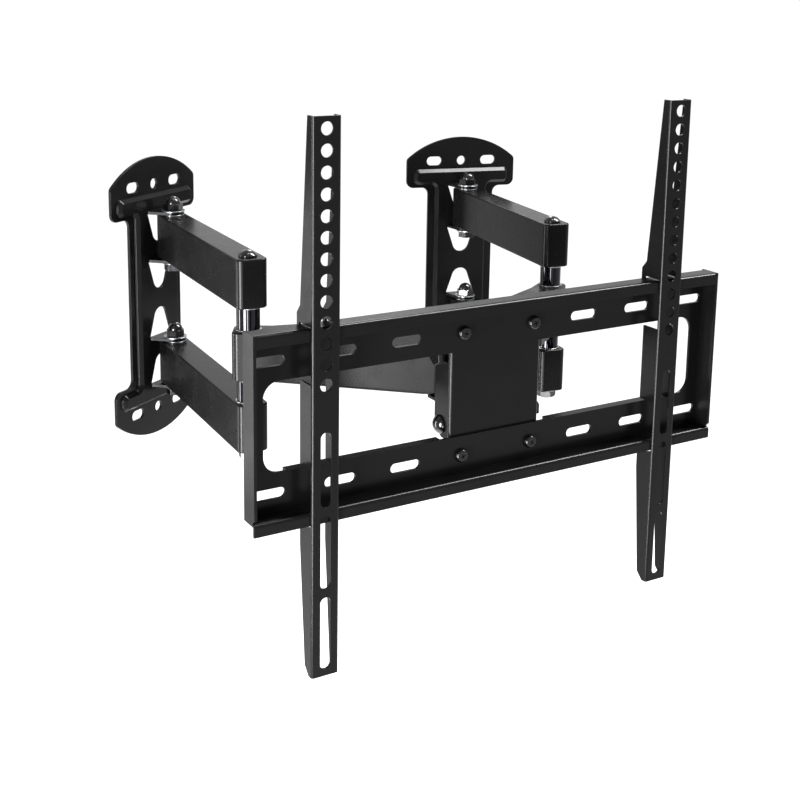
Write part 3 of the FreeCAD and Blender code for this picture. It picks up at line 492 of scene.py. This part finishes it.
def chamfered_hexagon(name, across, height, chamfer):
    """A hexagon on the origin, standing on Z = 0, whose corners are cut by a turned cone."""
    corner = across / math.sqrt(3)
    blank_radius = corner * 1.02
    flat_radius = across / 2 * 0.97
    # the cone starts inside the flats and ends outside the corners, so it falls by more than its cut
    cone_fall = chamfer * 1.35
    hexagon = bar(6, corner, 0, height, math.radians(30))
    hexagon.name = name
    blank = bar(72, blank_radius, 0, height)
    for sign in (1, -1):
        level = height if sign > 0 else 0
        select_faces(blank, lambda centre, normal: normal.z * sign > 0.9)
        bpy.ops.mesh.inset(thickness=blank_radius - flat_radius, depth=0)
        bpy.ops.object.mode_set(mode="OBJECT")
        reach = blank_radius - 0.01 * MM
        for vertex in blank.data.vertices:
            if abs(vertex.co.z - level) < 0.001 * MM and math.hypot(vertex.co.x, vertex.co.y) > reach:
                vertex.co.z = level - sign * cone_fall
    with_modifier(hexagon, "BOOLEAN", operation="INTERSECT", object=blank, solver="EXACT")
    discard(blank)
    return hexagon


def bore(piece, radius, low, high):
    """Cuts a round hole along Z between the two levels."""
    drill = bar(48, radius, low, high)
    with_modifier(piece, "BOOLEAN", operation="DIFFERENCE", object=drill, solver="EXACT")
    discard(drill)


def dome_cap(radius, low, height):
    """The closed round cap of an acorn nut."""
    bpy.ops.object.select_all(action="DESELECT")
    bpy.ops.mesh.primitive_uv_sphere_add(segments=48, ring_count=24, radius=radius, location=(0, 0, low))
    cap = bpy.context.object
    settle(cap)
    bpy.ops.object.mode_set(mode="EDIT")
    bpy.ops.mesh.select_all(action="SELECT")
    bpy.ops.mesh.bisect(plane_co=(0, 0, low), plane_no=(0, 0, 1), clear_inner=True, use_fill=True)
    bpy.ops.object.mode_set(mode="OBJECT")
    stretch = Matrix.Translation((0, 0, low)) @ Matrix.Diagonal((1, 1, height / radius, 1))
    cap.data.transform(stretch @ Matrix.Translation((0, 0, -low)))
    return cap


def plain_nut(name):
    """A hexagon nut, chamfered at both ends and bored through."""
    spare = 1 * MM
    nut = chamfered_hexagon(name, NUT_ACROSS, NUT_HEIGHT, sizes().nut_chamfer)
    bore(nut, NUT_BORE, -spare, NUT_HEIGHT + spare)
    smooth(nut, 25)
    return nut


def acorn_nut(name):
    """A cap nut: a chamfered hexagon with a round cap on it."""
    spare = 1 * MM
    nut = chamfered_hexagon(f"{name}_hexagon", NUT_ACROSS, NUT_HEIGHT, sizes().nut_chamfer)
    bore(nut, NUT_BORE, -spare, NUT_HEIGHT - CAP_WALL)
    cap = dome_cap(NUT_ACROSS * 0.44, NUT_HEIGHT - CAP_SINK, CAP_HEIGHT + CAP_SINK)
    whole = join_as(name, [nut, cap])
    smooth(whole, 25)
    return whole


def cross_screw(name, head_radius, head_height, shank_radius, shank_length):
    """A pan-head screw on the origin, head upwards, with a tapered cross recess."""
    head = bar(48, head_radius, 0, head_height)
    select_faces(head, lambda centre, normal: normal.z > 0.9)
    bpy.ops.mesh.inset(thickness=head_radius * 0.16, depth=0)
    bpy.ops.object.mode_set(mode="OBJECT")
    shoulder = head_height * 0.45
    for vertex in head.data.vertices:
        reach = math.hypot(vertex.co.x, vertex.co.y)
        if vertex.co.z > head_height * 0.9 and reach > head_radius * 0.95:
            vertex.co.z = shoulder
    with_modifier(head, "BEVEL", width=head_height * 0.22, segments=4, limit_method="ANGLE",
                  angle_limit=math.radians(20), use_clamp_overlap=True)
    cross_reach, cross_width, cross_depth = head_radius * 0.58, head_radius * 0.2, head_height * 0.55
    tip_share = 0.45
    for turn in (0, 90):
        bpy.ops.object.select_all(action="DESELECT")
        bpy.ops.mesh.primitive_cube_add(size=1, location=(0, 0, head_height))
        blade = bpy.context.object
        blade.scale = (cross_reach * 2, cross_width, cross_depth * 2)
        blade.rotation_euler = (0, 0, math.radians(turn))
        settle(blade)
        for vertex in blade.data.vertices:
            if vertex.co.z < head_height:
                vertex.co.x *= tip_share
                vertex.co.y *= tip_share
        with_modifier(head, "BOOLEAN", operation="DIFFERENCE", object=blade, solver="EXACT")
        discard(blade)
    shank = bar(32, shank_radius, SHANK_SINK - shank_length, SHANK_SINK)
    with_modifier(shank, "BEVEL", width=SHANK_CHAMFER, segments=2, limit_method="ANGLE",
                  angle_limit=math.radians(60))
    screw = join_as(name, [head, shank])
    smooth(screw, 30)
    return screw


def upright_turn(turn, place):
    """The matrix that stands a Z-axis piece at a place, turned about Z."""
    return Matrix.Translation(place) @ Matrix.Rotation(turn, 4, "Z")


def direction(azimuth, elevation):
    """The way from the mount to a lamp or camera, from its two angles in degrees."""
    turn, rise = math.radians(azimuth), math.radians(elevation)
    return Vector((math.sin(turn) * math.cos(rise), -math.cos(turn) * math.cos(rise), math.sin(rise)))


def add_lamp(name, place, away, width, height, power):
    """A softbox at a place, facing back along its direction from the mount."""
    light = bpy.data.lights.new(name, "AREA")
    light.shape = "RECTANGLE"
    light.size = width
    light.size_y = height
    light.energy = power
    lamp = bpy.data.objects.new(name, light)
    lamp.location = place
    lamp.rotation_euler = (-away).to_track_quat("-Z", "Y").to_euler()
    bpy.context.scene.collection.objects.link(lamp)


def add_camera():
    """The studio camera, level but for a slight roll, with its framing shifted."""
    lens = bpy.data.cameras.new("studio_camera")
    lens.sensor_fit = "HORIZONTAL"
    lens.sensor_width = SENSOR_MM
    lens.lens = stage().focal / MM
    lens.shift_x, lens.shift_y = FRAMING_SHIFT
    lens.clip_start, lens.clip_end = CLIP_NEAR, CLIP_FAR
    camera = bpy.data.objects.new("studio_camera", lens)
    azimuth, roll = math.radians(CAMERA_AZIMUTH), math.radians(CAMERA_ROLL)
    back = direction(CAMERA_AZIMUTH, CAMERA_ELEVATION)
    level = Vector((math.cos(azimuth), math.sin(azimuth), 0))
    over = back.cross(level)
    across = level * math.cos(roll) + over * math.sin(roll)
    upward = over * math.cos(roll) - level * math.sin(roll)
    axes = Matrix((across, upward, back)).transposed()
    camera.matrix_world = Matrix.Translation(CAMERA_PLACE) @ axes.to_4x4()
    bpy.context.scene.collection.objects.link(camera)
    bpy.context.scene.camera = camera


# ---- operators -------------------------------------------------------------------------------

class MOUNT_OT_wall_plates(bpy.types.Operator):
    """Finish both pressed wall plates with their folded ears"""
    bl_idname = "mount.wall_plates"
    bl_label = "Wall plates"

    def execute(self, context):
        for side in SIDES:
            node = f"wall_plate_{side}"
            install(rounded_node(node, sizes().sheet_round), "black_steel", node)
        return {"FINISHED"}


class MOUNT_OT_arms(bpy.types.Operator):
    """Finish the box arms and the tapered forearms with the sleeves inside them"""
    bl_idname = "mount.arms"
    bl_label = "Arms and forearms"

    def execute(self, context):
        for side in SIDES:
            for kind in ("upper_arm", "lower_arm", "forearm"):
                node = f"{kind}_{side}"
                install(rounded_node(node, sizes().tube_round), "tube", node, record_slot="black_steel")
            for kind in ("arm_sleeves", "forearm_sleeves"):
                node = f"{kind}_{side}"
                install(rounded_node(node, sizes().turned_round), "sleeve_steel", node)
        return {"FINISHED"}


class MOUNT_OT_wall_fasteners(bpy.types.Operator):
    """Model the bolts, cap nuts and washers at the wall plates' ears"""
    bl_idname = "mount.wall_fasteners"
    bl_label = "Wall pivot fasteners"

    def execute(self, context):
        nut = acorn_nut("cap_nut_model")
        for side in SIDES:
            node = f"wall_cap_nuts_{side}"
            low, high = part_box(node)
            middle = (low + high) / 2
            nuts = []
            for index, level in enumerate((low.z, high.z - NUT_HEIGHT - CAP_HEIGHT)):
                turn = math.radians(12 + 31 * index)
                nuts.append(copy_of(nut, f"cap_nut_{side}_{index}",
                                    upright_turn(turn, (middle.x, middle.y, level))))
            install(join_as(f"cap_nuts_{side}", nuts), "black_fastener", node)
            install(rounded_node(f"wall_bolts_{side}", sizes().turned_round), "black_fastener",
                    f"wall_bolts_{side}")
            install(rounded_node(f"wall_washers_{side}", sizes().turned_round), "zinc_washer",
                    f"wall_washers_{side}")
        discard(nut)
        return {"FINISHED"}


class MOUNT_OT_elbows(bpy.types.Operator):
    """Model the elbow bolts, posts, washers and nuts"""
    bl_idname = "mount.elbows"
    bl_label = "Elbow fasteners"

    def execute(self, context):
        nut = plain_nut("elbow_nut_model")
        for side in SIDES:
            node = f"elbow_nut_{side}"
            low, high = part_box(node)
            middle = (low + high) / 2
            place = upright_turn(math.radians(20), (middle.x, middle.y, low.z))
            install(copy_of(nut, f"elbow_locknut_{side}", place), "black_fastener", node)
            for kind, finish in (("bolt", "black_fastener"), ("posts", "black_post"),
                                 ("washers", "zinc_washer")):
                node = f"elbow_{kind}_{side}"
                install(rounded_node(node, sizes().turned_round), finish, node)
        discard(nut)
        return {"FINISHED"}


class MOUNT_OT_head(bpy.types.Operator):
    """Finish the swivel head, the tilting bracket and their fasteners"""
    bl_idname = "mount.head"
    bl_label = "Swivel head and tilting bracket"

    def execute(self, context):
        for node in ("swivel_head", "tilt_bracket"):
            install(rounded_node(node, sizes().sheet_round), "black_steel", node)
        for node in ("head_bolts", "head_nuts", "tilt_pivot_bolt", "tilt_pivot_nut",
                     "tilt_lock_bolts", "tilt_lock_nuts"):
            install(rounded_node(node, sizes().turned_round), "black_fastener", node)
        install(rounded_node("head_washers", sizes().turned_round), "nylon", "head_washers")
        return {"FINISHED"}


class MOUNT_OT_tv_frame(bpy.types.Operator):
    """Finish the pressed TV frame and the four bolts that hold it"""
    bl_idname = "mount.tv_frame"
    bl_label = "TV frame"

    def execute(self, context):
        install(rounded_node("tv_frame", sizes().sheet_round), "black_steel", "tv_frame")
        install(rounded_node("rail_nuts", sizes().turned_round), "black_fastener", "rail_nuts")
        low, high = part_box("rail_bolts")
        screw = cross_screw("rail_screw_model", SCREW_HEAD_RADIUS, SCREW_HEAD_HEIGHT, SCREW_SHANK_RADIUS,
                            high.y - low.y - SCREW_HEAD_HEIGHT)
        screws = []
        for index, x in enumerate((low.x + SCREW_HEAD_RADIUS, high.x - SCREW_HEAD_RADIUS)):
            for level, z in enumerate((low.z + SCREW_HEAD_RADIUS, high.z - SCREW_HEAD_RADIUS)):
                turn = math.radians(20 + 37 * index + 53 * level)
                place = Matrix.Translation((x, low.y + SCREW_HEAD_HEIGHT, z))
                lay = Matrix.Rotation(math.radians(90), 4, "X") @ Matrix.Rotation(turn, 4, "Z")
                screws.append(copy_of(screw, f"rail_screw_{index}_{level}", place @ lay))
        discard(screw)
        install(join_as("rail_screws", screws), "black_fastener", "rail_bolts")
        return {"FINISHED"}


class MOUNT_OT_uprights(bpy.types.Operator):
    """Finish the two sliding uprights"""
    bl_idname = "mount.uprights"
    bl_label = "Uprights"

    def execute(self, context):
        for side in SIDES:
            node = f"upright_{side}"
            install(rounded_node(node, sizes().sheet_round * 0.8), "black_steel", node)
        return {"FINISHED"}


class MOUNT_OT_stage(bpy.types.Operator):
    """Make the floor, the lamps, the flag and the camera"""
    bl_idname = "mount.stage"
    bl_label = "Studio stage"

    def execute(self, context):
        low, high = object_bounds()
        middle = (low + high) / 2
        bpy.ops.object.select_all(action="DESELECT")
        bpy.ops.mesh.primitive_plane_add(size=stage().floor_size,
                                         location=(middle.x, middle.y, low.z - stage().floor_drop))
        floor = context.object
        floor.name = "studio_floor"
        settle(floor)
        coat(floor, "floor")
        floor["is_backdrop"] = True

        for name, azimuth, elevation, distance, width, height, power in LAMPS:
            away = direction(azimuth, elevation)
            add_lamp(f"softbox_{name}", middle + away * distance, away, width, height,
                     power * stage().light)

        bpy.ops.object.select_all(action="DESELECT")
        facing = Vector(FLAG_FACE).normalized().to_track_quat("Z", "Y").to_euler()
        bpy.ops.mesh.primitive_plane_add(size=1, location=FLAG_PLACE, rotation=facing)
        flag = context.object
        flag.name = "studio_flag"
        flag.scale = FLAG_SIZE
        settle(flag)
        coat(flag, "flag")
        flag.visible_camera = False
        flag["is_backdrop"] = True

        world = bpy.data.worlds.new("white_cove")
        world.use_nodes = True
        world.node_tree.nodes.clear()
        sky = add_node(world.node_tree, "ShaderNodeBackground",
                       values={"Color": (*linear("#FFFFFF"), 1), "Strength": SKY_STRENGTH})
        add_node(world.node_tree, "ShaderNodeOutputWorld", links={"Surface": sky.outputs["Background"]})
        context.scene.world = world

        add_camera()
        context.scene.view_settings.view_transform = "Standard"
        return {"FINISHED"}


class MOUNT_PT_panel(bpy.types.Panel):
    """Lists the steps that finish the mount"""
    bl_idname = "MOUNT_PT_panel"
    bl_label = "TV Mount"
    bl_space_type = "VIEW_3D"
    bl_region_type = "UI"
    bl_category = "TV Mount"

    def draw(self, context):
        for settings in (sizes(), finishes(), stage()):
            box = self.layout.box()
            for name in settings.__annotations__:
                box.prop(settings, name)
        for operator in OPERATORS:
            self.layout.operator(operator.bl_idname)


OPERATORS = (MOUNT_OT_wall_plates, MOUNT_OT_arms, MOUNT_OT_wall_fasteners, MOUNT_OT_elbows,
             MOUNT_OT_head, MOUNT_OT_tv_frame, MOUNT_OT_uprights, MOUNT_OT_stage)
SETTINGS = {"mount_sizes": SizeSettings, "mount_finishes": FinishSettings, "mount_stage": StageSettings}


def register():
    for cls in (*SETTINGS.values(), *OPERATORS, MOUNT_PT_panel):
        bpy.utils.register_class(cls)
    for name, cls in SETTINGS.items():
        setattr(bpy.types.Scene, name, bpy.props.PointerProperty(type=cls))


def unregister():
    for name in SETTINGS:
        delattr(bpy.types.Scene, name)
    for cls in reversed((*SETTINGS.values(), *OPERATORS, MOUNT_PT_panel)):
        bpy.utils.unregister_class(cls)


def main():
    register()
    bpy.ops.mount.wall_plates()
    bpy.ops.mount.arms()
    bpy.ops.mount.wall_fasteners()
    bpy.ops.mount.elbows()
    bpy.ops.mount.head()
    bpy.ops.mount.tv_frame()
    bpy.ops.mount.uprights()
    bpy.ops.mount.stage()


if __name__ == "__main__":
    main()
